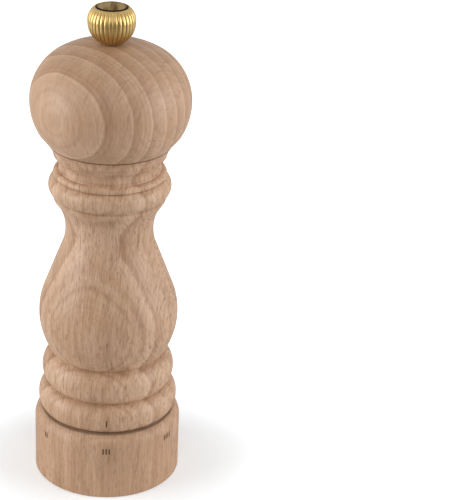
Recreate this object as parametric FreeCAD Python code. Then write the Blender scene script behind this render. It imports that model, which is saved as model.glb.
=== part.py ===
import FreeCAD, Part
import math
import os

# Pepper mill, 180 mm high, turned in beech, with a steel burr mechanism.
# Millimetres. The mill's axis is Z, its foot stands on z = 0, and its front faces -Y.
# Outlines are half sections, given as (radius, height).

# Driving dimensions of the turned wood
MILL_HEIGHT = 180.0
BASE_RADIUS = 27.0
BASE_TOP = 25.6
BODY_FOOT = 26.2
LOWER_RING_RADIUS = 25.52
UPPER_RING_RADIUS = 24.25
BELLY_RADIUS = 25.32
WAIST_RADIUS = 15.8
BEAD_RADIUS = 21.88
NOTCH_RADIUS = 18.0
BODY_TOP = 130.35
HEAD_FOOT = 130.75
HEAD_RADIUS = 28.28
HEAD_TOP = 166.6

# Bores in the wood
HOPPER_BORE = 12.0
MOUTH_BORE = 14.5
MOUTH_FLOOR = 119.0
SPIGOT_RADIUS = 14.2
SPIGOT_FOOT = 121.0
SHAFT_HOLE = 4.6
BUSH_HOLE = 3.95
BUSH_SHOULDER = 160.1

# Mechanism housing: a flanged sleeve pushed into the body from below
SLEEVE_RADIUS = 17.0
SLEEVE_BORE = 15.0
SLEEVE_FOOT = 10.0
SLEEVE_TOP = 52.0
FLANGE_RADIUS = 22.0
FLANGE_TOP = 27.7
HOUSING_SCREW_CIRCLE = 19.6
HOUSING_SCREW_ANGLES = (30.0, 150.0, 270.0)

# Grind adjustment: the base ring turns a helical groove round three pins
GRIND_STEPS = 6
GRIND_REST_STEP = 3
GRIND_STEP_ANGLE = 55.5
GROOVE_LEAD = 2.4
GRIND_STEP_RISE = GROOVE_LEAD * GRIND_STEP_ANGLE / 360
PIN_RADIUS = 0.7
PIN_COUNT = 3
PIN_HEIGHT = 16.0
PIN_INNER = 13.6
PIN_OUTER = 18.45
GROOVE_CLEARANCE = 0.05
GROOVE_OUTER = 18.55

# Adjuster ring, inside the base ring
ADJUSTER_RADIUS = 22.5
ADJUSTER_BORE = 17.08
ADJUSTER_FOOT = 10.2
ADJUSTER_TOP = 25.0
BASE_LIP_RADIUS = 18.0
ADJUSTER_SCREW_CIRCLE = 20.9
ADJUSTER_SCREW_ANGLES = (90.0, 210.0, 330.0)
SNAP_RING_FOOT = 11.3
SNAP_RING_TOP = 12.1

# Detent: a strip spring, riveted under the flange, clicks into the adjuster's notches
DETENT_ANGLE = 90.0
DETENT_FOOT = 25.8
DETENT_THICKNESS = 0.35
NOTCH_HEIGHT = 25.4
RIVET_RADIUS = 0.8
RIVET_CIRCLE = 20.0
RIVET_ANGLES = (DETENT_ANGLE - 36.0, DETENT_ANGLE + 36.0)

# Bearing bridges, and the plate under the head
LOWER_BRIDGE_FOOT = 30.0
UPPER_BRIDGE_FOOT = 48.5
BRIDGE_THICKNESS = 1.5
PLATE_FOOT = 119.8
PLATE_SCREW_CIRCLE = 9.0

# Shaft
SHAFT_SQUARE = 6.0
JOURNAL_RADIUS = 3.0
TANG_SQUARE = 4.2
THREAD_RADIUS = 2.5
THREAD_LEAD = 0.8
THREAD_DEPTH = 0.45
STUD_RADIUS = 2.0
STUD_FOOT = 6.8
ROTOR_WASHER_THICKNESS = 0.7
TANG_FOOT = 10.2
JOURNAL_FOOT = 28.0
SHOULDER_HEIGHT = 52.6
THREAD_FOOT = 157.5
SHAFT_TOP = 176.0
BEARING_BORE = 3.05

# Burrs: cones of the same slope, one inside the other
BURR_SLOPE_FOOT = 10.7
BURR_SLOPE_TOP = 14.7
ROTOR_FOOT_RADIUS = 11.5
ROTOR_SLOPE_RADIUS = 10.5
STATOR_RADIUS = 13.4
STATOR_FOOT = 10.6
STATOR_TOP = 20.6
CARRIER_TOP = 21.0

# Knob
KNOB_FOOT = 167.3
KNOB_RADIUS = 8.31
KNOB_FOOT_RADIUS = 4.2
KNOB_CAP_RADIUS = 4.8
KNOB_COLLAR_RADIUS = 5.1
KNOB_INSERT_RADIUS = 3.6
KNOB_RECESS_RADIUS = 5.7
KNOB_RECESS_FLOOR = 178.6
KNOB_FLUTES = 32
KNOB_FIRST_FLUTE = 3.4

UP = FreeCAD.Vector(0, 0, 1)
AXIS_FOOT = FreeCAD.Vector(0, 0, 0)


def point(radius, height):
    """A point of a half section, in the XZ plane."""
    return FreeCAD.Vector(radius, 0, height)


def at_angle(radius, angle, height):
    """A point at this distance from the mill's axis, at an angle in degrees from +X."""
    turn = math.radians(angle)
    return FreeCAD.Vector(radius * math.cos(turn), radius * math.sin(turn), height)


def turned(start, *steps):
    """Solid of revolution. A step of two numbers is a straight run to a point, and one
    of four numbers is an arc through a point to another. The outline closes itself."""
    here = point(*start)
    edges = []
    for step in steps:
        end = point(*step[-2:])
        if len(step) == 4:
            edges.append(Part.Arc(here, point(*step[:2]), end).toShape())
        else:
            edges.append(Part.LineSegment(here, end).toShape())
        here = end
    edges.append(Part.LineSegment(here, point(*start)).toShape())
    section = Part.Face(Part.Wire(edges))
    return section.revolve(AXIS_FOOT, UP, 360)


def rod(radius, foot, top):
    return Part.makeCylinder(radius, top - foot, point(0, foot))


def tube(bore, radius, foot, top):
    return rod(radius, foot, top).cut(rod(bore, foot, top))


def square_bar(side, foot, top):
    corner = FreeCAD.Vector(-side / 2, -side / 2, foot)
    return Part.makeBox(side, side, top - foot, corner)


def moved(shape, radius, angle):
    """A copy shifted out from the axis and turned round it."""
    copy = shape.copy()
    copy.translate(point(radius, 0))
    copy.rotate(AXIS_FOOT, UP, angle)
    return copy


def round_the_axis(shape, radius, angles):
    return [moved(shape, radius, angle) for angle in angles]


def evenly(count, first=0.0):
    return [first + 360.0 * turn / count for turn in range(count)]


def rod_between(start, end, radius):
    """A straight round bar from one point to another."""
    span = end.sub(start)
    return Part.makeCylinder(radius, span.Length, start, span)


def helical_band(bore, radius, foot, thickness, lead, start_angle, sweep_angle):
    """A flat band wound round the axis, like one thread of a square screw."""
    rise = lead * sweep_angle / 360.0
    inner = Part.makeHelix(lead, rise, bore)
    outer = Part.makeHelix(lead, rise, radius)
    surface = Part.makeRuledSurface(inner.Edges[0], outer.Edges[0])
    band = surface.extrude(FreeCAD.Vector(0, 0, thickness))
    band = Part.Solid(band) if band.ShapeType == "Shell" else band
    band.rotate(AXIS_FOOT, UP, start_angle)
    band.translate(FreeCAD.Vector(0, 0, foot))
    return band


def save(name, *solids):
    """Writes one node. Every solid is checked to be valid and closed."""
    shape = solids[0] if len(solids) == 1 else Part.makeCompound(list(solids))
    for solid in shape.Solids:
        if not solid.isValid() or solid.Volume <= 0:
            print("bad solid in", name)
    Part.makeCompound(shape.Solids).exportStep("parts/" + name + ".step")
    print(name, len(shape.Solids), "solids,", round(shape.Volume / 1000, 3), "cm3")


# ---- turned wood ----

def turned_body():
    """Beech body: two rings, belly, waist, neck bead and collar, bored for the hopper,
    the mechanism below and the head's spigot above."""
    body = turned(
        (0, BODY_FOOT), (24.3, BODY_FOOT),
        (25.2, 27.9, LOWER_RING_RADIUS, 30.1),
        (25.05, 33.3, 22.0, 36.4),
        (22.0, 36.6),
        (UPPER_RING_RADIUS, 42.1, 20.8, 48.6),
        (20.5, 48.9),
        (24.82, 59.2, BELLY_RADIUS, 64.7),
        (24.9, 69.3, 23.5, 74.2),
        (17.52, 89.8),
        (WAIST_RADIUS, 96.9, 16.3, 102.0),
        (17.4, 105.2, 19.1, 108.0),
        (19.98, 109.4, 20.35, 111.2),
        (BEAD_RADIUS, 114.6, 20.2, 117.9),
        (19.85, 118.25),
        (20.15, 119.1, 18.4, 120.8),
        (NOTCH_RADIUS, 122.5, 18.4, 124.2),
        (20.1, 126.3),
        (20.8, 128.9),
        (21.75, BODY_TOP - 0.15), (21.55, BODY_TOP),
        (0, BODY_TOP))
    hopper = rod(HOPPER_BORE, BODY_FOOT, BODY_TOP)
    housing_seat = rod(SLEEVE_RADIUS + 0.05, BODY_FOOT, SLEEVE_TOP + 0.2)
    flange_seat = rod(FLANGE_RADIUS + 0.05, BODY_FOOT, FLANGE_TOP + 0.05)
    mouth = rod(MOUTH_BORE, MOUTH_FLOOR, BODY_TOP)
    mouth_edge = turned((0, BODY_TOP), (0, BODY_TOP - 0.5), (MOUTH_BORE, BODY_TOP - 0.5),
                        (MOUTH_BORE + 0.5, BODY_TOP))
    screws = round_the_axis(housing_screw(), HOUSING_SCREW_CIRCLE, HOUSING_SCREW_ANGLES)
    return body.cut([hopper, housing_seat, flange_seat, mouth, mouth_edge] + screws)


def base_ring():
    """Beech base ring. Its lip at the foot carries the screws of the adjuster ring."""
    ring = turned(
        (ADJUSTER_RADIUS + 0.05, ADJUSTER_FOOT), (BASE_LIP_RADIUS, ADJUSTER_FOOT),
        (BASE_LIP_RADIUS, 0.8), (BASE_LIP_RADIUS + 0.8, 0),
        (BASE_RADIUS - 0.25, 0), (BASE_RADIUS, 0.25), (BASE_RADIUS, 20.8),
        (26.35, 23.35, 24.6, 25.2),
        (22.9, BASE_TOP), (ADJUSTER_RADIUS + 0.05, BASE_TOP))
    screw_hole = rod(1.1, 0, ADJUSTER_FOOT).fuse(rod(2.0, 0, 4.0))
    holes = round_the_axis(screw_hole, ADJUSTER_SCREW_CIRCLE, ADJUSTER_SCREW_ANGLES)
    return ring.cut(holes)


def head_ball():
    """Beech ball head, with a spigot that turns in the body's mouth."""
    head = turned(
        (SHAFT_HOLE, SPIGOT_FOOT), (SPIGOT_RADIUS - 0.5, SPIGOT_FOOT),
        (SPIGOT_RADIUS, SPIGOT_FOOT + 0.5), (SPIGOT_RADIUS, HEAD_FOOT),
        (21.8, HEAD_FOOT), (22.15, HEAD_FOOT + 0.2),
        (25.25, 134.75),
        (27.2, 139.1, HEAD_RADIUS, 145.6),
        (26.4, 154.5, 20.85, 161.5),
        (14.45, 164.85, 6.05, HEAD_TOP),
        (BUSH_HOLE, HEAD_TOP), (BUSH_HOLE, BUSH_SHOULDER), (SHAFT_HOLE, BUSH_SHOULDER))
    screws = round_the_axis(plate_screw(), PLATE_SCREW_CIRCLE, evenly(3, 90.0))
    return head.cut(screws)


# ---- housing and bearings ----

def housing_screw():
    """Countersunk wood screw, pointing up, with its head flush with the flange's foot."""
    return turned((0, BODY_FOOT), (2.3, BODY_FOOT), (1.2, BODY_FOOT + 1.3),
                  (1.2, 36.6), (0, 38.0))


def screw_slot(width, foot, depth):
    """Cross recess of a screw, on the mill's axis."""
    across = Part.makeBox(3.0, width, depth, FreeCAD.Vector(-1.5, -width / 2, foot))
    along = Part.makeBox(width, 3.0, depth, FreeCAD.Vector(-width / 2, -1.5, foot))
    return across.fuse(along)


def housing_screws():
    screw = housing_screw().cut(screw_slot(0.5, BODY_FOOT, 0.7))
    return round_the_axis(screw, HOUSING_SCREW_CIRCLE, HOUSING_SCREW_ANGLES)


def pin_heights():
    return [PIN_HEIGHT + GROOVE_LEAD * number / PIN_COUNT for number in range(PIN_COUNT)]


def sleeve_slot(angle, height):
    """Upright slot through the sleeve, as long as its pin's travel."""
    half_width = PIN_RADIUS + GROOVE_CLEARANCE
    fine_travel = GRIND_STEP_RISE * (GRIND_REST_STEP - 1)
    coarse_travel = GRIND_STEP_RISE * (GRIND_STEPS - GRIND_REST_STEP)
    low = height - fine_travel - GROOVE_CLEARANCE
    high = height + coarse_travel + GROOVE_CLEARANCE
    ends = [rod_between(at_angle(14.0, 0, z), at_angle(18.0, 0, z), half_width)
            for z in (low, high)]
    middle = Part.makeBox(4.0, 2 * half_width, high - low,
                          FreeCAD.Vector(14.0, -half_width, low))
    return moved(middle.fuse(ends), 0, angle)


def mechanism_housing():
    """Moulded sleeve with a flange, screwed into the foot of the body."""
    sleeve = rod(SLEEVE_RADIUS, SLEEVE_FOOT, SLEEVE_TOP)
    flange = rod(FLANGE_RADIUS, BODY_FOOT, FLANGE_TOP)
    bore = rod(SLEEVE_BORE, SLEEVE_FOOT, SLEEVE_TOP)
    top_bevel = turned((0, SLEEVE_TOP), (0, SLEEVE_TOP - 0.6),
                       (SLEEVE_BORE, SLEEVE_TOP - 0.6), (SLEEVE_BORE + 0.6, SLEEVE_TOP))
    snap_groove = tube(16.2, SLEEVE_RADIUS + 1, SNAP_RING_FOOT - 0.05, SNAP_RING_TOP + 0.05)
    slots = [sleeve_slot(angle, z) for angle, z in zip(evenly(PIN_COUNT), pin_heights())]
    screws = round_the_axis(housing_screw(), HOUSING_SCREW_CIRCLE, HOUSING_SCREW_ANGLES)
    rivet_hole = rod(RIVET_RADIUS, BODY_FOOT, FLANGE_TOP)
    rivets = round_the_axis(rivet_hole, RIVET_CIRCLE, RIVET_ANGLES)
    return sleeve.fuse(flange).cut([bore, top_bevel, snap_groove] + slots + screws + rivets)


def bridge(foot, hub_foot, hub_top):
    """Bearing bar across the sleeve, in one piece with a ring and a hub."""
    rim_bore = HOPPER_BORE + 0.4
    bar_width = 4.6
    bar_reach = rim_bore + 0.5
    rim = tube(rim_bore, SLEEVE_BORE - 0.05, foot, foot + BRIDGE_THICKNESS)
    bar = Part.makeBox(bar_width, 2 * bar_reach, BRIDGE_THICKNESS,
                       FreeCAD.Vector(-bar_width / 2, -bar_reach, foot))
    hub = rod(5.0, hub_foot, hub_top)
    return rim.fuse([bar, hub]).cut(rod(BEARING_BORE, hub_foot, hub_top))


# ---- shaft ----

def drive_shaft():
    """Square steel shaft: stud and tang for the rotor, round journal, and a screw thread
    for the knob."""
    stud = rod(STUD_RADIUS, STUD_FOOT, TANG_FOOT)
    tang = square_bar(TANG_SQUARE, TANG_FOOT, JOURNAL_FOOT)
    journal = rod(JOURNAL_RADIUS, JOURNAL_FOOT, SHOULDER_HEIGHT)
    square = square_bar(SHAFT_SQUARE, SHOULDER_HEIGHT, THREAD_FOOT)
    core = rod(THREAD_RADIUS - THREAD_DEPTH, THREAD_FOOT, SHAFT_TOP)
    return stud.fuse([tang, journal, square, core]).fuse(shaft_thread())


def shaft_thread():
    """V thread wound on the top of the shaft as a swept triangle."""
    root = THREAD_RADIUS - THREAD_DEPTH - 0.05
    foot = THREAD_FOOT + 0.5
    rise = THREAD_LEAD * 22
    half = THREAD_LEAD * 0.42
    corners = [point(root, foot - half), point(THREAD_RADIUS, foot), point(root, foot + half)]
    section = Part.makePolygon(corners + corners[:1])
    path = Part.makeHelix(THREAD_LEAD, rise, root)
    path.translate(point(0, foot))
    return Part.Wire(path.Edges).makePipeShell([section], True, True)


def thrust_washer():
    return tube(BEARING_BORE, 5.4, SHOULDER_HEIGHT - 1.0, SHOULDER_HEIGHT)


def rotor_burr():
    """Toothed steel cone on the shaft's tang: deep slanting flutes above that crack the
    corns, and fine teeth below that grind them."""
    cone = turned(
        (0, TANG_FOOT), (ROTOR_FOOT_RADIUS - 0.3, TANG_FOOT),
        (ROTOR_FOOT_RADIUS, BURR_SLOPE_FOOT),
        (ROTOR_SLOPE_RADIUS, BURR_SLOPE_TOP),
        (6.8, 21.0), (5.4, 26.4), (4.6, 26.8), (4.6, JOURNAL_FOOT), (0, JOURNAL_FOOT))
    flute = rod_between(at_angle(5.9, -20, 27.2), at_angle(11.4, 28, 13.4), 1.3)
    flutes = round_the_axis(flute, 0, evenly(8))
    tooth = rod_between(at_angle(11.65, 0, 10.0), at_angle(10.5, 11, 15.6), 0.42)
    teeth = round_the_axis(tooth, 0, evenly(32))
    tang_hole = square_bar(TANG_SQUARE, TANG_FOOT, JOURNAL_FOOT)
    return cone.cut(flutes).cut(teeth).cut(tang_hole)


def rotor_washer():
    return tube(STUD_RADIUS, 4.6, TANG_FOOT - ROTOR_WASHER_THICKNESS, TANG_FOOT)


def rotor_nut():
    """Hexagon nut on the stud under the rotor."""
    thickness = 2.2
    across_flats = 7.0
    top = TANG_FOOT - ROTOR_WASHER_THICKNESS
    foot = top - thickness
    corner_radius = across_flats / 2 / math.cos(math.radians(30))
    corners = [at_angle(corner_radius, angle, foot) for angle in evenly(6)]
    hexagon = Part.Face(Part.makePolygon(corners + corners[:1]))
    nut = hexagon.extrude(FreeCAD.Vector(0, 0, thickness))
    return nut.cut(rod(STUD_RADIUS, foot, top))


# ---- stator ----

def stator_burr():
    """Toothed steel ring round the rotor."""
    ring = turned(
        (STATOR_RADIUS, STATOR_FOOT), (12.0, STATOR_FOOT), (11.0, BURR_SLOPE_TOP - 0.1),
        (11.0, 18.4), (12.0, STATOR_TOP), (STATOR_RADIUS, STATOR_TOP))
    flute = rod_between(at_angle(11.2, 8, 14.2), at_angle(11.7, -8, 21.0), 0.8)
    flutes = round_the_axis(flute, 0, evenly(16))
    tooth = rod_between(at_angle(12.15, 0, 10.2), at_angle(10.95, -9, 15.2), 0.38)
    teeth = round_the_axis(tooth, 0, evenly(36, 3.0))
    return ring.cut(flutes).cut(teeth)


def follower_pins():
    """Steel pins that stick out of the carrier, through the sleeve, into the groove."""
    return [rod_between(at_angle(PIN_INNER, angle, z), at_angle(PIN_OUTER, angle, z), PIN_RADIUS)
            for angle, z in zip(evenly(PIN_COUNT), pin_heights())]


def stator_carrier():
    """Ring round the stator, which slides up and down in the sleeve."""
    ring = tube(STATOR_RADIUS, SLEEVE_BORE - 0.08, STATOR_FOOT - 0.2, CARRIER_TOP)
    return ring.cut(follower_pins())


def stator_spring():
    """Coil spring between the carrier and the lower bridge, as half turns of a ring,
    each tilted so that its ends meet the next ones."""
    wire_radius = 0.4
    coil_radius = 14.1
    foot = CARRIER_TOP + wire_radius
    half_turns = 8
    rise = (LOWER_BRIDGE_FOOT - wire_radius - foot) / half_turns
    tilt = math.degrees(math.asin(rise / (2 * coil_radius)))
    half_turn = Part.makeTorus(coil_radius, wire_radius, AXIS_FOOT, UP, -180, 180, 180)
    half_turn.rotate(AXIS_FOOT, FreeCAD.Vector(0, 1, 0), tilt)
    pieces = []
    for number in range(half_turns):
        piece = moved(half_turn, 0, 180 * number)
        piece.translate(point(0, foot + rise * (number + 0.5)))
        pieces.append(piece)
    return pieces[0].fuse(pieces[1:])


# ---- base: adjuster, detent and snap ring ----

def adjuster_ring():
    """Moulded ring fixed in the base ring. Its helical groove lifts the stator as the
    base turns, and its top has one detent notch for each grind."""
    ring = tube(ADJUSTER_BORE, ADJUSTER_RADIUS, ADJUSTER_FOOT, ADJUSTER_TOP)
    collar = tube(ADJUSTER_BORE, 17.9, ADJUSTER_TOP, BODY_FOOT - 0.1)
    snap_recess = rod(19.0, ADJUSTER_FOOT, SNAP_RING_TOP + 0.1)
    end_margin = 3.0
    coarse_sweep = GRIND_STEP_ANGLE * (GRIND_STEPS - GRIND_REST_STEP)
    fine_sweep = GRIND_STEP_ANGLE * (GRIND_REST_STEP - 1)
    last_pin = 360.0 * (PIN_COUNT - 1) / PIN_COUNT
    start_angle = -fine_sweep - end_margin
    end_angle = last_pin + coarse_sweep + end_margin
    half_height = PIN_RADIUS + GROOVE_CLEARANCE
    foot = PIN_HEIGHT + GROOVE_LEAD * start_angle / 360.0 - half_height
    groove = helical_band(ADJUSTER_BORE - 0.3, GROOVE_OUTER, foot, 2 * half_height,
                          GROOVE_LEAD, start_angle, end_angle - start_angle)
    notch = rod_between(at_angle(18.0, 0, NOTCH_HEIGHT), at_angle(23.0, 0, NOTCH_HEIGHT), 1.0)
    first_notch = DETENT_ANGLE - fine_sweep
    notch_angles = [first_notch + GRIND_STEP_ANGLE * step for step in range(GRIND_STEPS)]
    notches = round_the_axis(notch, 0, notch_angles)
    pilot = rod(1.05, ADJUSTER_FOOT, 18.2)
    pilots = round_the_axis(pilot, ADJUSTER_SCREW_CIRCLE, ADJUSTER_SCREW_ANGLES)
    return ring.fuse(collar).cut(snap_recess).cut(groove).cut(notches + pilots)


def adjuster_screws():
    """Pan-head screws, up through the base ring's lip into the adjuster ring."""
    screw = turned((0, 1.8), (1.3, 1.8), (1.8, 2.3), (1.8, 3.9), (1.05, 3.9),
                   (1.05, 17.0), (0, 18.0))
    screw = screw.cut(screw_slot(0.5, 1.8, 0.9))
    return round_the_axis(screw, ADJUSTER_SCREW_CIRCLE, ADJUSTER_SCREW_ANGLES)


def base_retaining_ring():
    """Snap ring in the sleeve's groove, open at the back."""
    ring = tube(16.25, 18.5, SNAP_RING_FOOT, SNAP_RING_TOP)
    gap = Part.makeBox(5.0, 5.0, 3.0, FreeCAD.Vector(-2.5, 15.0, SNAP_RING_FOOT - 1))
    return ring.cut(gap)


def detent_spring():
    """Strip of spring steel under the flange, with one pressed-down bump."""
    top = DETENT_FOOT + DETENT_THICKNESS
    sweep = 90.0
    sector = Part.makeCylinder(21.6, DETENT_THICKNESS, point(0, DETENT_FOOT), UP, sweep)
    sector.rotate(AXIS_FOOT, UP, DETENT_ANGLE - sweep / 2)
    strip = sector.cut(rod(18.4, DETENT_FOOT, top))
    bump = rod_between(at_angle(18.8, DETENT_ANGLE, NOTCH_HEIGHT),
                       at_angle(21.2, DETENT_ANGLE, NOTCH_HEIGHT), 0.9)
    bump = bump.common(rod(ADJUSTER_RADIUS, ADJUSTER_TOP - 1, top))
    rivets = round_the_axis(rod(RIVET_RADIUS, DETENT_FOOT, top), RIVET_CIRCLE, RIVET_ANGLES)
    return strip.fuse(bump).cut(rivets)


def detent_rivets():
    head = rod(1.3, DETENT_FOOT - 0.3, DETENT_FOOT)
    rivet = rod(RIVET_RADIUS, DETENT_FOOT - 0.3, FLANGE_TOP).fuse(head)
    return round_the_axis(rivet, RIVET_CIRCLE, RIVET_ANGLES)


# ---- head fittings ----

def drive_plate():
    """Steel plate under the head, whose square hole takes the shaft."""
    plate = turned((0, PLATE_FOOT), (12.2, PLATE_FOOT), (12.5, PLATE_FOOT + 0.3),
                   (12.5, SPIGOT_FOOT), (0, SPIGOT_FOOT))
    hole = square_bar(SHAFT_SQUARE + 0.12, PLATE_FOOT, SPIGOT_FOOT)
    screws = round_the_axis(plate_screw(), PLATE_SCREW_CIRCLE, evenly(3, 90.0))
    return plate.cut([hole] + screws)


def plate_screw():
    """Small countersunk wood screw, pointing up, flush with the plate's foot."""
    return turned((0, PLATE_FOOT), (2.0, PLATE_FOOT), (1.1, PLATE_FOOT + 1.0),
                  (1.1, 128.8), (0, 130.0))


def drive_plate_screws():
    screw = plate_screw().cut(screw_slot(0.45, PLATE_FOOT, 0.6))
    return round_the_axis(screw, PLATE_SCREW_CIRCLE, evenly(3, 90.0))


def head_bush():
    """Brass bush round the shaft's thread, pushed up into the ball as far as its flange."""
    fit = 0.05
    sleeve = tube(THREAD_RADIUS + 0.25, BUSH_HOLE - fit, 158.25, HEAD_TOP)
    flange = tube(THREAD_RADIUS + 0.25, SHAFT_HOLE - fit, 158.25, BUSH_SHOULDER - fit)
    return sleeve.fuse(flange)


# ---- knob ----

def knob_washer():
    return tube(THREAD_RADIUS + 0.25, KNOB_FOOT_RADIUS - 0.2, HEAD_TOP + 0.05, KNOB_FOOT - 0.05)


def knob_flute():
    """Cutter for one upright groove: a bent round bar that leaves the knob's face above
    and below, so the groove fades out at both ends."""
    bar_radius = 0.42
    depth = 0.26
    low = point(6.95, 169.3)
    middle = point(KNOB_RADIUS + bar_radius - depth, 174.2)
    high = point(7.6, 178.4)
    path = Part.Wire([Part.Arc(low, middle, high).toShape()])
    along = path.Edges[0].tangentAt(path.Edges[0].FirstParameter)
    section = Part.Wire([Part.makeCircle(bar_radius, low, along)])
    return path.makePipeShell([section], True, True)


def knob_shell():
    """Fluted brass knob, turned from bar and hollowed for its insert and cap."""
    shell = turned(
        (KNOB_INSERT_RADIUS, KNOB_FOOT), (KNOB_FOOT_RADIUS, KNOB_FOOT),
        (7.05, 169.9, KNOB_RADIUS, 174.3),
        (7.8, 177.5, 6.1, 179.75),
        (KNOB_RECESS_RADIUS, 179.85),
        (KNOB_RECESS_RADIUS, KNOB_RECESS_FLOOR), (KNOB_INSERT_RADIUS, KNOB_RECESS_FLOOR))
    return shell.cut(round_the_axis(knob_flute(), 0, evenly(KNOB_FLUTES, KNOB_FIRST_FLUTE)))


def knob_thread_insert():
    blind_end = SHAFT_TOP + 0.6
    insert = rod(KNOB_INSERT_RADIUS, KNOB_FOOT, KNOB_RECESS_FLOOR - 0.1)
    return insert.cut(rod(THREAD_RADIUS + 0.05, KNOB_FOOT, blind_end))


def knob_cap_ring():
    """Black ring in the knob's recess: a thin collar round the cap, and a lower land."""
    edge = 0.08
    land = MILL_HEIGHT - 0.6
    top = MILL_HEIGHT - 0.07
    return turned((KNOB_CAP_RADIUS, KNOB_RECESS_FLOOR), (KNOB_RECESS_RADIUS, KNOB_RECESS_FLOOR),
                  (KNOB_RECESS_RADIUS, land), (KNOB_COLLAR_RADIUS, land),
                  (KNOB_COLLAR_RADIUS, top - edge), (KNOB_COLLAR_RADIUS - edge, top),
                  (KNOB_CAP_RADIUS + edge, top), (KNOB_CAP_RADIUS, top - edge))


def knob_cap_disc():
    """Slightly domed disc inside the collar."""
    return turned((0, KNOB_RECESS_FLOOR), (KNOB_CAP_RADIUS, KNOB_RECESS_FLOOR),
                  (KNOB_CAP_RADIUS, MILL_HEIGHT - 0.2),
                  (2.8, MILL_HEIGHT - 0.06, 0.4, MILL_HEIGHT), (0, MILL_HEIGHT))


# ---- all nodes ----

os.makedirs("parts", exist_ok=True)
save("turned_body", turned_body())
save("base_ring", base_ring())
save("head_ball", head_ball())
save("mechanism_housing", mechanism_housing())
save("housing_screws", *housing_screws())
save("lower_bridge", bridge(LOWER_BRIDGE_FOOT, JOURNAL_FOOT + 0.3, LOWER_BRIDGE_FOOT + 3.0))
save("upper_bridge", bridge(UPPER_BRIDGE_FOOT, UPPER_BRIDGE_FOOT - 1.0, 51.55))
save("drive_shaft", drive_shaft())
save("thrust_washer", thrust_washer())
save("rotor_burr", rotor_burr())
save("rotor_washer", rotor_washer())
save("rotor_nut", rotor_nut())
save("stator_burr", stator_burr())
save("stator_carrier", stator_carrier())
save("follower_pins", *follower_pins())
save("stator_spring", stator_spring())
save("adjuster_ring", adjuster_ring())
save("adjuster_screws", *adjuster_screws())
save("base_retaining_ring", base_retaining_ring())
save("detent_spring", detent_spring())
save("detent_rivets", *detent_rivets())
save("drive_plate", drive_plate())
save("drive_plate_screws", *drive_plate_screws())
save("head_bush", head_bush())
save("knob_washer", knob_washer())
save("knob_shell", knob_shell())
save("knob_thread_insert", knob_thread_insert())
save("knob_cap_ring", knob_cap_ring())
save("knob_cap_disc", knob_cap_disc())
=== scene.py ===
import math

import bmesh
import bpy
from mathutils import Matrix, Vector
from mathutils.bvhtree import BVHTree


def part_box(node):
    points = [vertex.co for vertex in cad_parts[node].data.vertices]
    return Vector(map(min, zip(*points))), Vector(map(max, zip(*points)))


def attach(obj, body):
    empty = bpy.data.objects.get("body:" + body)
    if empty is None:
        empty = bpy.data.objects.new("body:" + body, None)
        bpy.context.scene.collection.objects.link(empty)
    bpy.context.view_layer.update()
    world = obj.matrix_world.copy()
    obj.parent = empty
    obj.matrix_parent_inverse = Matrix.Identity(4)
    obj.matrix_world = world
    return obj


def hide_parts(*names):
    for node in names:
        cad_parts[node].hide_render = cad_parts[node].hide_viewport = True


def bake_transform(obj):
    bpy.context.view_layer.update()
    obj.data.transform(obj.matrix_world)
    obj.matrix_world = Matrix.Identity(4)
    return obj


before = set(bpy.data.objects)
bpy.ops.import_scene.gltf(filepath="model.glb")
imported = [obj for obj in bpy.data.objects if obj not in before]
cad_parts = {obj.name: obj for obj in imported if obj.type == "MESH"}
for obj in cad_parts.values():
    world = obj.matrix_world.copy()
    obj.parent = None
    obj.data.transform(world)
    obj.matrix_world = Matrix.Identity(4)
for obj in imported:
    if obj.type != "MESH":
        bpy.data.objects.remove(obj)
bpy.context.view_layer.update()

# ---- Viewing place ----
# The mill is seen from in front and above, at the height of a person's eyes over a
# table. It stands left of the middle, with room beside it.
eye_place = (0.00112, -0.58151, 0.36537)
eye_turns = (64.596, -2.169, -2.960)

eye = bpy.data.cameras.new("eye")
eye.lens = 128.2
eye.sensor_width = 36.0
eye_object = bpy.data.objects.new("eye", eye)
eye_object.location = eye_place
eye_object.rotation_euler = [math.radians(turn) for turn in eye_turns]
bpy.context.collection.objects.link(eye_object)
bpy.context.scene.camera = eye_object
bpy.context.scene.view_settings.view_transform = "Standard"

# ---- Floor and studio light ----
# A white paper floor between two large soft boxes, left and right, with a weaker one in
# front. White paper all round gives the satin wood and the brass their pale edges.


def add_node(tree, kind, sockets=None, **settings):
    """One node, with its settings made and its sockets filled or joined."""
    made = tree.nodes.new("ShaderNode" + kind)
    for name, value in settings.items():
        setattr(made, name, value)
    for socket, value in (sockets or {}).items():
        if isinstance(value, bpy.types.NodeSocket):
            tree.links.new(value, made.inputs[socket])
        else:
            made.inputs[socket].default_value = value
    return made


def reckon(tree, operation, *terms):
    """One sum of two or three numbers or sockets."""
    return add_node(tree, "Math", dict(enumerate(terms)), operation=operation).outputs[0]


def empty_material(name):
    """A material with nothing in it but the way out."""
    made = bpy.data.materials.new(name)
    made.use_nodes = True
    made.node_tree.nodes.clear()
    return made, made.node_tree


# Round the foot the paper glows less, a painted shade that deepens the mill's shadow there, and
# further out it glows white, which paints out the lamps' shadows.
paper_half_width = 1.35
paper_front, paper_back = -0.28, 2.4
paper_sink = 0.0001
shadow_reach, white_reach = 0.03, 0.085
shadow_glow, white_glow = 0.24, 0.64

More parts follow.
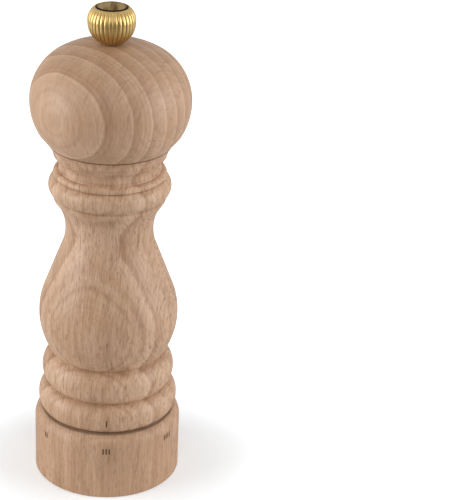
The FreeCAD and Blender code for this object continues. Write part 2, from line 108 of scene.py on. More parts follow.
paper, tree = empty_material("white_paper")
seen = add_node(tree, "LightPath")
fibre = add_node(tree, "TexNoise", {"Scale": 900.0})
paper_colour = add_node(tree, "ValToRGB", {"Fac": fibre.outputs["Fac"]})
paper_colour.color_ramp.elements[0].color = (0.86, 0.89, 0.91, 1)
paper_colour.color_ramp.elements[1].color = (0.90, 0.93, 0.95, 1)
paper_face = add_node(tree, "BsdfDiffuse", {"Color": paper_colour.outputs["Color"]})
paper_place = add_node(tree, "TexCoord").outputs["Object"]
paper_reach = add_node(tree, "VectorMath", {0: paper_place}, operation="LENGTH")
paper_white = add_node(tree, "MapRange", {
    "Value": paper_reach.outputs["Value"], "From Min": shadow_reach, "From Max": white_reach,
    "To Min": shadow_glow, "To Max": white_glow}, interpolation_type="SMOOTHSTEP")
paper_glow = add_node(tree, "Emission", {"Strength": reckon(
    tree, "MULTIPLY", seen.outputs["Is Camera Ray"], paper_white.outputs[0])})
paper_sum = add_node(tree, "AddShader", {0: paper_face.outputs[0], 1: paper_glow.outputs[0]})
add_node(tree, "OutputMaterial", {"Surface": paper_sum.outputs[0]})

floor_mesh = bpy.data.meshes.new("paper_floor")
floor_form = bmesh.new()
floor_form.faces.new([floor_form.verts.new(corner) for corner in (
    (-paper_half_width, paper_front, 0), (paper_half_width, paper_front, 0),
    (paper_half_width, paper_back, 0), (-paper_half_width, paper_back, 0))])
floor_form.to_mesh(floor_mesh)
floor_form.free()
floor = bpy.data.objects.new("paper_floor", floor_mesh)
floor.location.z = -paper_sink
floor_mesh.materials.append(paper)
bpy.context.collection.objects.link(floor)

# The room is white behind the mill and at its sides, and dim behind the viewer.
mirrored_room = 0.75
room_light = 0.42
dim_end = 0.15
dim_towards, white_towards = -0.95, -0.25

sky = bpy.data.worlds.new("white_room")
sky.use_nodes = True
tree = sky.node_tree
tree.nodes.clear()
seen = add_node(tree, "LightPath")
towards = add_node(tree, "SeparateXYZ", {0: add_node(tree, "TexCoord").outputs["Generated"]})
opening = add_node(tree, "MapRange", {
    "Value": towards.outputs["Y"], "From Min": dim_towards, "From Max": white_towards,
    "To Min": dim_end, "To Max": 1.0}, interpolation_type="SMOOTHSTEP").outputs[0]
mirrored = reckon(tree, "MAXIMUM", seen.outputs["Is Glossy Ray"],
                  seen.outputs["Is Transmission Ray"])
mirrored = reckon(tree, "MULTIPLY", mirrored, mirrored_room)
white = reckon(tree, "MAXIMUM", seen.outputs["Is Camera Ray"],
               reckon(tree, "MULTIPLY", mirrored, opening))
soft = reckon(tree, "MULTIPLY", opening, room_light)
sky_strength = reckon(tree, "MAXIMUM", white, soft)
sky_light = add_node(tree, "Background", {"Color": (1, 1, 1, 1), "Strength": sky_strength})
add_node(tree, "OutputWorld", {"Surface": sky_light.outputs[0]})
bpy.context.scene.world = sky

mill_middle = Vector((0, 0, 0.09))


def soft_box(name, place, width, height, power):
    """An upright lamp that faces the middle of the mill."""
    lamp = bpy.data.lights.new(name, "AREA")
    lamp.shape = "RECTANGLE"
    lamp.size = width
    lamp.size_y = height
    lamp.energy = power
    holder = bpy.data.objects.new(name, lamp)
    holder.location = place
    aim = mill_middle - Vector(place)
    holder.rotation_euler = aim.to_track_quat("-Z", "Y").to_euler()
    bpy.context.collection.objects.link(holder)


soft_box("left_box", (-1.2, -0.27, 0.42), width=1.1, height=0.8, power=12.6)
soft_box("right_box", (1.2, -0.27, 0.42), width=1.1, height=0.8, power=11.0)
soft_box("front_box", (0.0, -1.1, 0.85), width=0.9, height=0.5, power=3.2)

# ---- Turned body ----
# Steamed beech, turned between centres from one blank and left unpainted, with a satin
# wax finish. The growth rings run up the blank, so the turning cuts them into arches.
mm_per_metre = 1000.0
wood_dark = (0.325, 0.168, 0.085, 1)
wood_middle = (0.505, 0.309, 0.187, 1)
wood_pale = (0.655, 0.445, 0.300, 1)
fleck_brown = (0.225, 0.112, 0.056, 1)
pore_brown = (0.24, 0.125, 0.068, 1)
# Painted shade at the joint between body and base: its edges are mixed towards this dark brown.
painted_joint_shade = (0.020, 0.010, 0.004, 1)
joint_shade_cover, joint_dullness = 0.93, 0.4
ring_depth = 32.0
ring_share, season_share = 0.75, 0.35
mottle_share, fibre_share = 0.55, 0.75
middle_tone = 0.51
at_half_width = 0.37


def years(*edges):
    """Tones across growth rings: at each year's edge a dark line, then a pale one."""
    tones = []
    for edge, strength in edges:
        for offset, change in ((-0.35, -0.34), (0.0, 0.45), (0.55, 0.14)):
            tones.append((edge + offset, 0.5 + change * strength))
    return tones


def rings_ramp(tree, depth, tones, deepest, shallowest):
    """Growth rings across a blank, from tones that are each set at a depth."""
    span = shallowest - deepest
    where = reckon(tree, "DIVIDE", reckon(tree, "SUBTRACT", depth, deepest), span)
    ramp = add_node(tree, "ValToRGB", {"Fac": where})
    stops = ramp.color_ramp.elements
    stops[0].position = 0.0
    stops[0].color = (0.5, 0.5, 0.5, 1)
    stops[1].position = 1.0
    stops[1].color = (0.4, 0.4, 0.4, 1)
    for level, tone in tones:
        stops.new((level - deepest) / span).color = (tone, tone, tone, 1)
    return ramp.outputs["Color"]


def bell(tree, squared):
    """One at no distance and near nothing beyond 2, from a distance squared."""
    return reckon(tree, "POWER", at_half_width, squared)


def beech(name, heading, tones, lean=0.0, pith=600.0, knots=(), height_bands=(), figure=1.0,
          coarse=1.0, seed=0.0, gap=None):
    """Beech for one turned piece. Lengths are in millimetres: heading is the compass
    turn in degrees from the front to the bark side, lean is how the rings slope with
    height, and pith is how far off the heart of the tree is. Each knot is a place, a
    size, a lift and a strength. Each height band is a height, a half width and how
    much darker it is, or how much paler if that is negative: on the body the creases
    get browning and painted shade, and two wide bands get painted light. figure is
    how strongly the rings show, and coarse how strongly the fibres do. gap is the
    radius, the height and the width of a joint whose edges get painted shade."""
    made, tree = empty_material(name)
    place = add_node(tree, "TexCoord").outputs["Object"]
    grain = add_node(tree, "VectorMath", {0: place, "Scale": mm_per_metre}, operation="SCALE")
    grain = grain.outputs[0]
    outward = Vector((math.sin(math.radians(heading)), -math.cos(math.radians(heading)), 0))
    from_pith = add_node(tree, "VectorMath", {0: grain, 1: outward * pith}, operation="ADD")
    flat = add_node(tree, "VectorMath", {0: from_pith.outputs[0], 1: (1, 1, 0)},
                    operation="MULTIPLY")
    away = add_node(tree, "VectorMath", {0: flat.outputs[0]}, operation="LENGTH")
    height = add_node(tree, "SeparateXYZ", {0: grain}).outputs["Z"]
    depth = reckon(tree, "SUBTRACT", away.outputs["Value"], pith)
    depth = reckon(tree, "MULTIPLY_ADD", height, lean, depth)

    squared = add_node(tree, "VectorRotate", {
        "Vector": grain, "Angle": -math.radians(heading)}, rotation_type="Z_AXIS").outputs[0]

    def stretched(across, inward, along, detail, shift):
        """Noise with one size across the grain, one towards the pith and one up it."""
        scaled = add_node(tree, "Mapping", {
            "Vector": squared, "Location": (shift, shift * 0.7, seed),
            "Scale": (1 / across, 1 / inward, 1 / along)})
        return add_node(tree, "TexNoise", {
            "Vector": scaled.outputs[0], "Scale": 1.0, "Detail": detail,
            "Roughness": 0.55}).outputs["Fac"]

    wander = stretched(across=16.0, inward=16.0, along=40.0, detail=1.0, shift=seed + 3.0)
    depth = reckon(tree, "MULTIPLY_ADD", reckon(tree, "SUBTRACT", wander, 0.5), 1.3, depth)
    fine_wander = stretched(across=1.2, inward=3.0, along=6.0, detail=2.0, shift=seed + 7.0)
    depth = reckon(tree, "MULTIPLY_ADD", reckon(tree, "SUBTRACT", fine_wander, 0.5), 0.35, depth)
    swirl = None
    for spot, size, lift, strength in knots:
        offset = add_node(tree, "VectorMath", {0: grain, 1: spot}, operation="SUBTRACT")
        offset = add_node(tree, "VectorMath", {0: offset.outputs[0], 1: size},
                          operation="DIVIDE")
        span = add_node(tree, "VectorMath", {0: offset.outputs[0]}, operation="LENGTH")
        span = reckon(tree, "MULTIPLY_ADD", fine_wander, 0.16, span.outputs["Value"])
        near = bell(tree, reckon(tree, "MULTIPLY", span, span))
        depth = reckon(tree, "MULTIPLY_ADD", near, lift, depth)
        turns = reckon(tree, "PINGPONG", reckon(tree, "MULTIPLY", span, 4.0), 0.5)
        turns = reckon(tree, "MULTIPLY", reckon(tree, "SUBTRACT", turns, 0.3), strength)
        turns = reckon(tree, "MULTIPLY", turns, near)
        swirl = turns if swirl is None else reckon(tree, "ADD", swirl, turns)
    rings = rings_ramp(tree, depth, tones, -ring_depth, ring_depth)
    season = add_node(tree, "TexNoise", {
        "W": reckon(tree, "MULTIPLY", depth, 1.3), "Scale": 1.0, "Detail": 2.0},
        noise_dimensions="1D").outputs["Fac"]

    mottle = stretched(across=5.0, inward=8.0, along=30.0, detail=3.0, shift=seed + 11.0)
    fibre = stretched(across=0.6, inward=4.0, along=14.0, detail=3.0, shift=seed + 17.0)
    fleck = stretched(across=0.45, inward=4.0, along=3.8, detail=1.0, shift=seed + 23.0)
    pore = stretched(across=0.36, inward=1.4, along=2.4, detail=1.0, shift=seed + 31.0)
    patch = stretched(across=5.0, inward=5.0, along=12.0, detail=1.0, shift=seed + 41.0)
    fleck_mask = add_node(tree, "MapRange", {
        "Value": reckon(tree, "MULTIPLY_ADD", patch, 0.35, fleck),
        "From Min": 0.76, "From Max": 0.90}).outputs[0]
    pore_mask = add_node(tree, "MapRange", {
        "Value": pore, "From Min": 0.55, "From Max": 0.72}).outputs[0]

    tone = reckon(tree, "MULTIPLY", rings, ring_share * figure)
    tone = reckon(tree, "MULTIPLY_ADD", mottle, mottle_share, tone)
    tone = reckon(tree, "MULTIPLY_ADD", fibre, fibre_share * coarse, tone)
    tone = reckon(tree, "MULTIPLY_ADD", season, season_share * figure, tone)
    shares = (ring_share + season_share) * figure + mottle_share + fibre_share * coarse
    tone = reckon(tree, "ADD", tone, middle_tone - 0.5 * shares)
    if swirl is not None:
        tone = reckon(tree, "ADD", tone, swirl)
    # Each band darkens or pales the tone about a height: on the body this is browning and
    # painted shade in the creases, and painted light on two wide bands.
    for level, half_width, darkening in height_bands:
        off = reckon(tree, "DIVIDE", reckon(tree, "SUBTRACT", height, level), half_width)
        near = bell(tree, reckon(tree, "MULTIPLY", off, off))
        tone = reckon(tree, "MULTIPLY_ADD", near, -darkening, tone)
    wood = add_node(tree, "ValToRGB", {"Fac": tone})
    stops = wood.color_ramp.elements
    stops[0].position = 0.0
    stops[0].color = wood_dark
    stops[1].position = 1.0
    stops[1].color = wood_pale
    stops.new(0.5).color = wood_middle
    flecked = add_node(tree, "Mix", {
        "Factor": reckon(tree, "MULTIPLY", fleck_mask, min(0.42 * coarse, 0.8)),
        "A": wood.outputs["Color"], "B": fleck_brown}, data_type="RGBA")
    pored = add_node(tree, "Mix", {
        "Factor": reckon(tree, "MULTIPLY", pore_mask, min(0.34 * coarse, 0.7)),
        "A": flecked.outputs["Result"], "B": pore_brown}, data_type="RGBA")
    colour = pored.outputs["Result"]
    gloss = add_node(tree, "MapRange", {
        "Value": fibre, "From Min": 0.3, "From Max": 0.7, "To Min": 0.44,
        "To Max": 0.56}).outputs[0]
    # Painted shade at the joint: the colour goes dark brown near the joint's circle, and the
    # wood is rougher there.
    if gap:
        gap_radius, gap_height, gap_width = gap
        reach = add_node(tree, "VectorMath", {0: grain, 1: (1, 1, 0)}, operation="MULTIPLY")
        reach = add_node(tree, "VectorMath", {0: reach.outputs[0]}, operation="LENGTH")
        out = reckon(tree, "SUBTRACT", reach.outputs["Value"], gap_radius)
        up = reckon(tree, "SUBTRACT", height, gap_height)
        off = reckon(tree, "MULTIPLY_ADD", out, out, reckon(tree, "MULTIPLY", up, up))
        near = bell(tree, reckon(tree, "DIVIDE", off, gap_width ** 2))
        colour = add_node(tree, "Mix", {
            "Factor": reckon(tree, "MULTIPLY", near, joint_shade_cover), "A": colour,
            "B": painted_joint_shade}, data_type="RGBA").outputs["Result"]
        gloss = reckon(tree, "MULTIPLY_ADD", near, joint_dullness, gloss)
    relief = reckon(tree, "MULTIPLY_ADD", fleck_mask, -0.8, fibre)
    relief = reckon(tree, "MULTIPLY_ADD", pore_mask, -0.6, relief)
    bump = add_node(tree, "Bump", {
        "Height": relief, "Strength": 0.25, "Distance": 0.00005})
    face = add_node(tree, "BsdfPrincipled", {
        "Base Color": colour, "Roughness": gloss, "Normal": bump.outputs[0]})
    add_node(tree, "OutputMaterial", {"Surface": face.outputs[0]})
    return made


def finish(material, *nodes):
    """Gives the named pieces of the frame their finish."""
    for name in nodes:
        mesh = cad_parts[name].data
        mesh.materials.clear()
        mesh.materials.append(material)


# Rings at even steps deep in the blank, then tone by tone near its bark side. The knots
# are a large swirl and a pin knot on the right of the belly. The creases are darker, partly
# the end grain's browning and partly painted shade, and two wide bands, on the neck's bead
# and the upper ring, carry painted light that makes them paler.
body_rings = years((-20.0, 0.5), (-13.0, 0.5), (-6.5, 0.5), (0.5, 0.4), (7.0, 0.4))
body_rings += ((10.5, 0.50), (13.4, 0.15), (13.9, 0.85), (15.8, 0.72), (17.8, 0.38),
               (19.5, 0.62), (20.0, 0.30), (20.8, 0.50), (22.3, 0.48), (22.7, 0.22),
               (23.1, 0.46), (23.6, 0.24), (24.2, 0.38))
body_knots = (((22.7, -7.4, 71.0), (5.5, 5.5, 11.0), 2.0, 0.7),
              ((18.2, -17.0, 61.7), (1.1, 1.1, 1.6), 0.5, 1.2))
body_browning_and_painted_shading = ((36.5, 0.9, 0.35), (48.7, 1.0, 0.30), (110.9, 0.5, 0.35), (118.4, 0.35, 0.45),
                (121.4, 0.5, 0.25), (127.0, 0.35, 0.20), (26.4, 0.5, 0.30),
                (116.0, 8.0, -0.12), (40.0, 8.0, -0.12))
# Where the body sits on the base, both sides of the joint get painted shade.
base_gap = (24.3, 25.95, 0.7)
finish(beech("body_beech", -17.0, body_rings, knots=body_knots, height_bands=body_browning_and_painted_shading,
             figure=0.95, coarse=1.45, seed=1.0, gap=base_gap), "turned_body")

# ---- Base ring ----
# Beech again, from another blank, so its rings don't follow the body's. It is turned
# as a plain drum with a hollow for the adjuster ring, which its screws hold.
base_rings = years((-22.0, 0.5), (-16.5, 0.6), (-11.0, 0.5), (-5.0, 0.6), (1.0, 0.5),
                   (6.5, 0.6), (12.0, 0.5), (17.5, 0.4), (23.0, 0.55))
base_browning = ((12.0, 30.0, 0.10),)
finish(beech("base_beech", 1.0, base_rings, lean=0.03, pith=120.0, height_bands=base_browning,
             figure=0.6, coarse=1.05, seed=5.0, gap=base_gap), "base_ring")

# ---- Head ----
# A ball of beech with a spigot that turns in the mouth of the body. Its blank stood
# with the bark side to the left, so its rings look like circles round that side.
head_rings = years((-25.0, 0.7), (-19.5, 0.8), (-13.6, 0.9), (-8.0, 0.7), (-2.4, 0.7),
                   (2.8, 0.75), (8.75, 0.9), (15.0, 0.9), (22.2, 0.9), (27.0, 0.3))
finish(beech("head_beech", -44.0, head_rings, coarse=0.70, seed=9.0), "head_ball")

# ---- Grind marks ----
# Strokes burnt into the wood with a hot die: one stroke on the body's lower ring is
# the pointer, and the base carries one to six strokes, one for each step of the grind.
# Turns are in degrees from the front, and lengths in metres.
front_mark_heading = -0.5
mark_step = 55.5
marks = 6
mark_at_rest = 3
mark_low, mark_high = 0.0184, 0.0209
pointer_low, pointer_high = 0.0289, 0.0319
stroke_width = 0.00062
stroke_gap = 0.0011
stroke_rise = 0.00002
stroke_crown = 0.00003
stroke_rows = 13
stroke_columns = 5
end_squareness = 8
weld = 1e-7
beyond_wood = 0.05


def surface_radius(tree, azimuth, height):
    """How far the wood's surface is from the axis, at a compass turn and a height."""
    away = Vector((math.sin(azimuth), -math.cos(azimuth), 0))
    found = tree.ray_cast(away * beyond_wood + Vector((0, 0, height)), -away)
    return beyond_wood - found[3]


def burnt_strokes(name, node, azimuth, count, low, high):
    """A row of upright strokes that lie in the skin of a turned surface."""
    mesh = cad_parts[node].data
    skin = BVHTree.FromPolygons([v.co.copy() for v in mesh.vertices],
                                [tuple(p.vertices) for p in mesh.polygons])
    form = bmesh.new()
    middle = surface_radius(skin, azimuth, (low + high) / 2)
    for stroke in range(count):
        centre = azimuth + (stroke - (count - 1) / 2) * stroke_gap / middle
        grid = []
        for row in range(stroke_rows):
            up = row / (stroke_rows - 1)
            height = low + (high - low) * up
            pinch = math.sqrt(max(0.0, 1 - abs(2 * up - 1) ** end_squareness))
            line = []
            for column in range(stroke_columns):
                side = column / (stroke_columns - 1) - 0.5
                turn = centre + side * stroke_width * pinch / middle
                proud = stroke_rise + stroke_crown * (1 - abs(2 * side) ** 2)
                radius = surface_radius(skin, turn, height) + proud
                line.append(form.verts.new((radius * math.sin(turn),
                                            -radius * math.cos(turn), height)))
            grid.append(line)
        for below, above in zip(grid, grid[1:]):
            for column in range(stroke_columns - 1):
                form.faces.new((below[column], below[column + 1],
                                above[column + 1], above[column]))
    bmesh.ops.remove_doubles(form, verts=form.verts, dist=weld)
    made = bpy.data.meshes.new(name)
    form.to_mesh(made)
    form.free()
    for polygon in made.polygons:
        polygon.use_smooth = True
    piece = bpy.data.objects.new(name, made)
    bpy.context.collection.objects.link(piece)
    return piece


char, tree = empty_material("burnt_beech")
place = add_node(tree, "TexCoord").outputs["Object"]
soot = add_node(tree, "TexNoise", {"Vector": place, "Scale": 2600.0, "Detail": 2.0})
char_colour = add_node(tree, "ValToRGB", {"Fac": soot.outputs["Fac"]})
char_colour.color_ramp.elements[0].position = 0.3
char_colour.color_ramp.elements[0].color = (0.075, 0.030, 0.014, 1)
char_colour.color_ramp.elements[1].position = 0.75
char_colour.color_ramp.elements[1].color = (0.190, 0.088, 0.042, 1)
char_bump = add_node(tree, "Bump", {
    "Height": soot.outputs["Fac"], "Strength": 0.4, "Distance": 0.00005})
char_face = add_node(tree, "BsdfPrincipled", {
    "Base Color": char_colour.outputs["Color"], "Roughness": 0.8,
    "Normal": char_bump.outputs[0]})
add_node(tree, "OutputMaterial", {"Surface": char_face.outputs[0]})

pointer = burnt_strokes("grind_pointer", "turned_body", math.radians(front_mark_heading), 1,
                        pointer_low, pointer_high)
pointer.data.materials.append(char)
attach(pointer, "body")
for count in range(1, marks + 1):
    turn = math.radians(front_mark_heading + (count - mark_at_rest) * mark_step)
    mark = burnt_strokes("grind_mark_%d" % count, "base_ring", turn, count,
                         mark_low, mark_high)
    mark.data.materials.append(char)
    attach(mark, "base")

# ---- Metal of the mill ----
# Steel burrs, shaft, screws and springs, cut or drawn and left bright, with the fine
# rings that a lathe tool leaves round the axis.
tool_pitch = 0.12
metal_unevenness = 0.06


def turned_metal(name, colour, roughness):
    """Bright metal with tool rings round the mill's axis and small uneven patches."""
    made, tree = empty_material(name)
    place = add_node(tree, "TexCoord").outputs["Object"]
    scaled = add_node(tree, "VectorMath", {0: place, "Scale": mm_per_metre}, operation="SCALE")
    rings = add_node(tree, "Mapping", {
        "Vector": scaled.outputs[0], "Scale": (0.2, 0.2, 1 / tool_pitch)})
    tool = add_node(tree, "TexNoise", {
        "Vector": rings.outputs[0], "Scale": 1.0, "Detail": 2.0})
    patch = add_node(tree, "TexNoise", {
        "Vector": scaled.outputs[0], "Scale": 0.35, "Detail": 3.0})
    shade = reckon(tree, "MULTIPLY_ADD", patch.outputs["Fac"], 0.4,
                   reckon(tree, "MULTIPLY", tool.outputs["Fac"], 0.6))
    tint = add_node(tree, "ValToRGB", {"Fac": shade})
    stops = tint.color_ramp.elements
    stops[0].position = 0.3
    stops[0].color = tuple(0.86 * part for part in colour) + (1,)
    stops[1].position = 0.7
    stops[1].color = tuple(colour) + (1,)
    rough = add_node(tree, "MapRange", {
        "Value": shade, "From Min": 0.3, "From Max": 0.7,
        "To Min": roughness - metal_unevenness, "To Max": roughness + metal_unevenness})
    bump = add_node(tree, "Bump", {
        "Height": tool.outputs["Fac"], "Strength": 0.15, "Distance": 0.00002})
    face = add_node(tree, "BsdfPrincipled", {
        "Base Color": tint.outputs["Color"], "Metallic": 1.0,
        "Roughness": rough.outputs[0], "Normal": bump.outputs[0]})
    add_node(tree, "OutputMaterial", {"Surface": face.outputs[0]})
    return made


finish(turned_metal("burr_steel_cut", (0.44, 0.43, 0.42), 0.34), "rotor_burr", "stator_burr")
finish(turned_metal("shaft_steel_bright", (0.62, 0.61, 0.60), 0.24),
       "drive_shaft", "follower_pins")
finish(turned_metal("plate_steel_rolled", (0.55, 0.55, 0.54), 0.38),
       "drive_plate", "thrust_washer", "rotor_washer", "lower_bridge", "upper_bridge")
finish(turned_metal("screw_steel_zinc", (0.66, 0.66, 0.64), 0.30),
       "housing_screws", "adjuster_screws", "drive_plate_screws", "rotor_nut")
finish(turned_metal("spring_steel_drawn", (0.50, 0.50, 0.51), 0.30),
       "stator_spring", "detent_spring", "base_retaining_ring")

# ---- Stator spring ----
# A coil of drawn wire between the lower bridge and the stator's carrier, which squeezes it
# as it rises. Here the frame's spring is hidden and a copy of it, as it stands at rest,
# takes its place; nothing here moves or squeezes the copy.
coil_at_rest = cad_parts["stator_spring"]
coil = bpy.data.objects.new("stator_spring_coil", coil_at_rest.data.copy())
coil.matrix_world = coil_at_rest.matrix_world
bpy.context.collection.objects.link(coil)
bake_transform(coil)
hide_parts("stator_spring")

# ---- Nylon mouldings ----
# Housing and adjuster ring are moulded in black nylon with a fine spark finish, and the
# knob's washer in a dark brown, partly its own colour and partly painted shade under the
# knob's foot. The stator's carrier is the one natural, off-white moulding.
spark_unevenness = 0.08


def moulded(name, colour, roughness):
    """Moulded plastic with a fine spark texture."""
    made, tree = empty_material(name)
    place = add_node(tree, "TexCoord").outputs["Object"]
    spark = add_node(tree, "TexNoise", {"Vector": place, "Scale": 5200.0, "Detail": 2.0})
    cloud = add_node(tree, "TexNoise", {"Vector": place, "Scale": 160.0, "Detail": 2.0})
    tint = add_node(tree, "ValToRGB", {"Fac": cloud.outputs["Fac"]})
    stops = tint.color_ramp.elements
    stops[0].position = 0.3
    stops[0].color = tuple(0.85 * part for part in colour) + (1,)
    stops[1].position = 0.7
    stops[1].color = tuple(colour) + (1,)
    rough = add_node(tree, "MapRange", {
        "Value": spark.outputs["Fac"], "To Min": roughness - spark_unevenness,
        "To Max": roughness + spark_unevenness})
    bump = add_node(tree, "Bump", {
        "Height": spark.outputs["Fac"], "Strength": 0.25, "Distance": 0.00003})
    face = add_node(tree, "BsdfPrincipled", {
        "Base Color": tint.outputs["Color"], "Roughness": rough.outputs[0],
        "Normal": bump.outputs[0]})
    add_node(tree, "OutputMaterial", {"Surface": face.outputs[0]})
    return made


finish(moulded("nylon_black", (0.020, 0.020, 0.021), 0.45),
       "mechanism_housing", "adjuster_ring")
# The washer's dark brown is partly painted shade at the knob's foot.
finish(moulded("nylon_washer", (0.190, 0.095, 0.032), 0.85), "knob_washer")
finish(moulded("nylon_natural", (0.62, 0.60, 0.54), 0.40), "stator_carrier")

# ---- Knob ----
# Brass, turned to a bulb, fluted all round with a ball-ended cutter and polished. It
# screws down on the shaft and sets how firmly the head is pressed on the body.
# Radii and heights of its form are in millimetres.
knob_ribs = 32
first_flute = math.radians(3.4)
facets_per_rib = 12
flute_depth = 0.36
flute_foot = 168.3
flute_top = 179.5
flute_fade = 0.8
flute_round = 0.99
foot_radius = 4.0
foot_chamfer_radius, foot_chamfer = 4.2, 0.1
flank_radius, flank_height = 7.05, 169.9
bulge_height, bulge_clearance = 174.3, 0.02
shoulder_radius, shoulder_height = 7.8, 177.5
rim_drop = 0.25
rim_round = 0.06
rim_outer_radius, rim_inner_radius = 6.1, 5.95
flank_steps, shoulder_steps = 30, 24
crease = math.radians(50)
metre_per_mm = 0.001


def arc_through(first, middle, last, count):
    """Points of the circle through three points, from the first to the last."""
    (ax, ay), (bx, by), (cx, cy) = first, middle, last
    d = 2 * (ax * (by - cy) + bx * (cy - ay) + cx * (ay - by))
    a2, b2, c2 = ax * ax + ay * ay, bx * bx + by * by, cx * cx + cy * cy
    ox = (a2 * (by - cy) + b2 * (cy - ay) + c2 * (ay - by)) / d
    oy = (a2 * (cx - bx) + b2 * (ax - cx) + c2 * (bx - ax)) / d
    radius = math.hypot(ax - ox, ay - oy)
    start = math.atan2(ay - oy, ax - ox)
    sweep = math.remainder(math.atan2(cy - oy, cx - ox) - start, 2 * math.pi)
    turns = [start + sweep * step / count for step in range(count + 1)]
    return [(ox + radius * math.cos(t), oy + radius * math.sin(t)) for t in turns]


knob_low, knob_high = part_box("knob_shell")
insert_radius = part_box("knob_thread_insert")[1].x * mm_per_metre
recess_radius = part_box("knob_cap_ring")[1].x * mm_per_metre
recess_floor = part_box("knob_cap_disc")[0].z * mm_per_metre
bulge = knob_high.x * mm_per_metre - bulge_clearance
knob_foot = knob_low.z * mm_per_metre
rim = knob_high.z * mm_per_metre - rim_drop
outline = [(insert_radius, knob_foot), (foot_radius, knob_foot)]
outline += arc_through((foot_chamfer_radius, knob_foot + foot_chamfer),
                       (flank_radius, flank_height), (bulge, bulge_height), flank_steps)
outline += arc_through((bulge, bulge_height), (shoulder_radius, shoulder_height),
                       (rim_outer_radius, rim - rim_round), shoulder_steps)[1:]
outline += [(rim_inner_radius, rim), (recess_radius + rim_round, rim),
            (recess_radius, rim - rim_round), (recess_radius, recess_floor),
            (insert_radius, recess_floor)]
knob_form = bmesh.new()
around = knob_ribs * facets_per_rib
loops = []
for radius, level in outline:
    fade = min(level - flute_foot, flute_top - level) / flute_fade
    fade = min(max(fade, 0.0), 1.0) if radius > recess_radius else 0.0
    fade = fade * fade * (3 - 2 * fade)
    loop = []
    for number in range(around):
        across = abs(2 * ((number / facets_per_rib) % 1.0) - 1)
        drop = flute_depth * fade * (1 - math.sqrt(1 - (flute_round * across) ** 2))
        turn = first_flute + 2 * math.pi * number / around
        loop.append(knob_form.verts.new((metre_per_mm * (radius - drop) * math.cos(turn),
                                         metre_per_mm * (radius - drop) * math.sin(turn),
                                         metre_per_mm * level)))
    loops.append(loop)
for lower, upper in zip(loops, loops[1:] + loops[:1]):
    for number in range(around):
        after = (number + 1) % around
        knob_form.faces.new((lower[number], lower[after], upper[after], upper[number]))
bmesh.ops.recalc_face_normals(knob_form, faces=knob_form.faces)
knob_mesh = bpy.data.meshes.new("fluted_knob")
knob_form.to_mesh(knob_mesh)
knob_form.free()
knob_mesh.polygons.foreach_set("use_smooth", [True] * len(knob_mesh.polygons))
knob_mesh.set_sharp_from_angle(angle=crease)
knob = bpy.data.objects.new("fluted_knob", knob_mesh)
bpy.context.collection.objects.link(knob)

# Tarnish stays in the flutes and ends below the plain rim. These heights are in metres.
tarnish_end, rim_start = 0.1787, 0.1793
tarnish_half_width = 0.17

brass, tree = empty_material("brass_polished")
place = add_node(tree, "TexCoord").outputs["Object"]
split = add_node(tree, "SeparateXYZ", {0: place})
bearing = reckon(tree, "ARCTAN2", split.outputs["Y"], split.outputs["X"])
bearing = reckon(tree, "SUBTRACT", bearing, first_flute)
in_flute = reckon(tree, "PINGPONG", reckon(tree, "MULTIPLY", bearing,
                                           knob_ribs / (2 * math.pi)), 0.5)
tarnish = add_node(tree, "MapRange", {
    "Value": in_flute, "From Min": 0.0, "From Max": tarnish_half_width, "To Min": 1.0,
    "To Max": 0.0}).outputs[0]
fluted = add_node(tree, "MapRange", {
    "Value": split.outputs["Z"], "From Min": tarnish_end, "From Max": rim_start,
    "To Min": 1.0, "To Max": 0.0}).outputs[0]
tarnish = reckon(tree, "MULTIPLY", tarnish, fluted)
haze = add_node(tree, "TexNoise", {"Vector": place, "Scale": 420.0, "Detail": 3.0})
brass_tint = add_node(tree, "ValToRGB", {"Fac": haze.outputs["Fac"]})
brass_tint.color_ramp.elements[0].position = 0.3
brass_tint.color_ramp.elements[0].color = (0.57, 0.395, 0.150, 1)
brass_tint.color_ramp.elements[1].position = 0.7
brass_tint.color_ramp.elements[1].color = (0.67, 0.470, 0.190, 1)
brass_tone = add_node(tree, "Mix", {
    "Factor": reckon(tree, "MULTIPLY", tarnish, 0.8), "A": brass_tint.outputs["Color"],
    "B": (0.20, 0.115, 0.03, 1)}, data_type="RGBA")
brass_rough = reckon(tree, "MULTIPLY_ADD", haze.outputs["Fac"], 0.12, 0.33)
brass_face = add_node(tree, "BsdfPrincipled", {
    "Base Color": brass_tone.outputs["Result"], "Metallic": 1.0,
    "Roughness": reckon(tree, "MULTIPLY_ADD", tarnish, 0.2, brass_rough)})
add_node(tree, "OutputMaterial", {"Surface": brass_face.outputs[0]})
knob_mesh.materials.append(brass)
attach(knob, "knob")
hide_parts("knob_shell")
finish(turned_metal("brass_fitting", (0.66, 0.47, 0.20), 0.32),
       "knob_thread_insert", "head_bush", "detent_rivets")

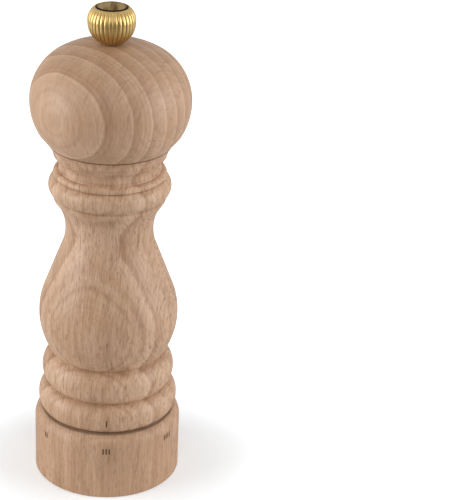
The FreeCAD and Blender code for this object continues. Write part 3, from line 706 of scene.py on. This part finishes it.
# ---- Knob cap ----
# A bronzed disc with a brushed face, rolled over the top of a black collar that stands
# a little proud of the knob. It has no badge or lettering: its face is left plain.
rolled_edge = 0.00003
face_radius = 0.00504
cap_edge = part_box("knob_cap_ring")[1].z - rolled_edge
cap, tree = empty_material("cap_bronze_brushed")
place = add_node(tree, "TexCoord").outputs["Object"]
streaks = add_node(tree, "Mapping", {"Vector": place, "Scale": (560.0, 80.0, 80.0)})
streak = add_node(tree, "TexNoise", {
    "Vector": streaks.outputs[0], "Scale": 1.0, "Detail": 2.0})
cap_tint = add_node(tree, "ValToRGB", {"Fac": streak.outputs["Fac"]})
cap_tint.color_ramp.elements[0].position = 0.34
cap_tint.color_ramp.elements[0].color = (0.09, 0.050, 0.020, 1)
cap_tint.color_ramp.elements[1].position = 0.62
cap_tint.color_ramp.elements[1].color = (0.42, 0.30, 0.165, 1)
cap_face = add_node(tree, "BsdfPrincipled", {
    "Base Color": cap_tint.outputs["Color"], "Metallic": 1.0,
    "Specular Tint": (0.85, 0.74, 0.56, 1),
    "Roughness": reckon(tree, "MULTIPLY_ADD", streak.outputs["Fac"], 0.15, 0.26)})
lacquer = add_node(tree, "ValToRGB", {"Fac": streak.outputs["Fac"]})
lacquer.color_ramp.elements[0].color = (0.006, 0.003, 0.001, 1)
lacquer.color_ramp.elements[1].color = (0.024, 0.013, 0.004, 1)
collar_face = add_node(tree, "BsdfPrincipled", {
    "Base Color": lacquer.outputs["Color"], "Specular IOR Level": 0.15,
    "Roughness": reckon(tree, "MULTIPLY_ADD", streak.outputs["Fac"], 0.1, 0.5)})
split = add_node(tree, "SeparateXYZ", {0: place})
flat_place = add_node(tree, "CombineXYZ", {
    "X": split.outputs["X"], "Y": split.outputs["Y"]})
reach = add_node(tree, "VectorMath", {0: flat_place.outputs[0]}, operation="LENGTH")
rolled = reckon(tree, "MAXIMUM",
                reckon(tree, "GREATER_THAN", split.outputs["Z"], cap_edge),
                reckon(tree, "LESS_THAN", reach.outputs["Value"], face_radius))
cap_or_collar = add_node(tree, "MixShader", {
    0: rolled, 1: collar_face.outputs[0], 2: cap_face.outputs[0]})
add_node(tree, "OutputMaterial", {"Surface": cap_or_collar.outputs[0]})
finish(cap, "knob_cap_disc", "knob_cap_ring")
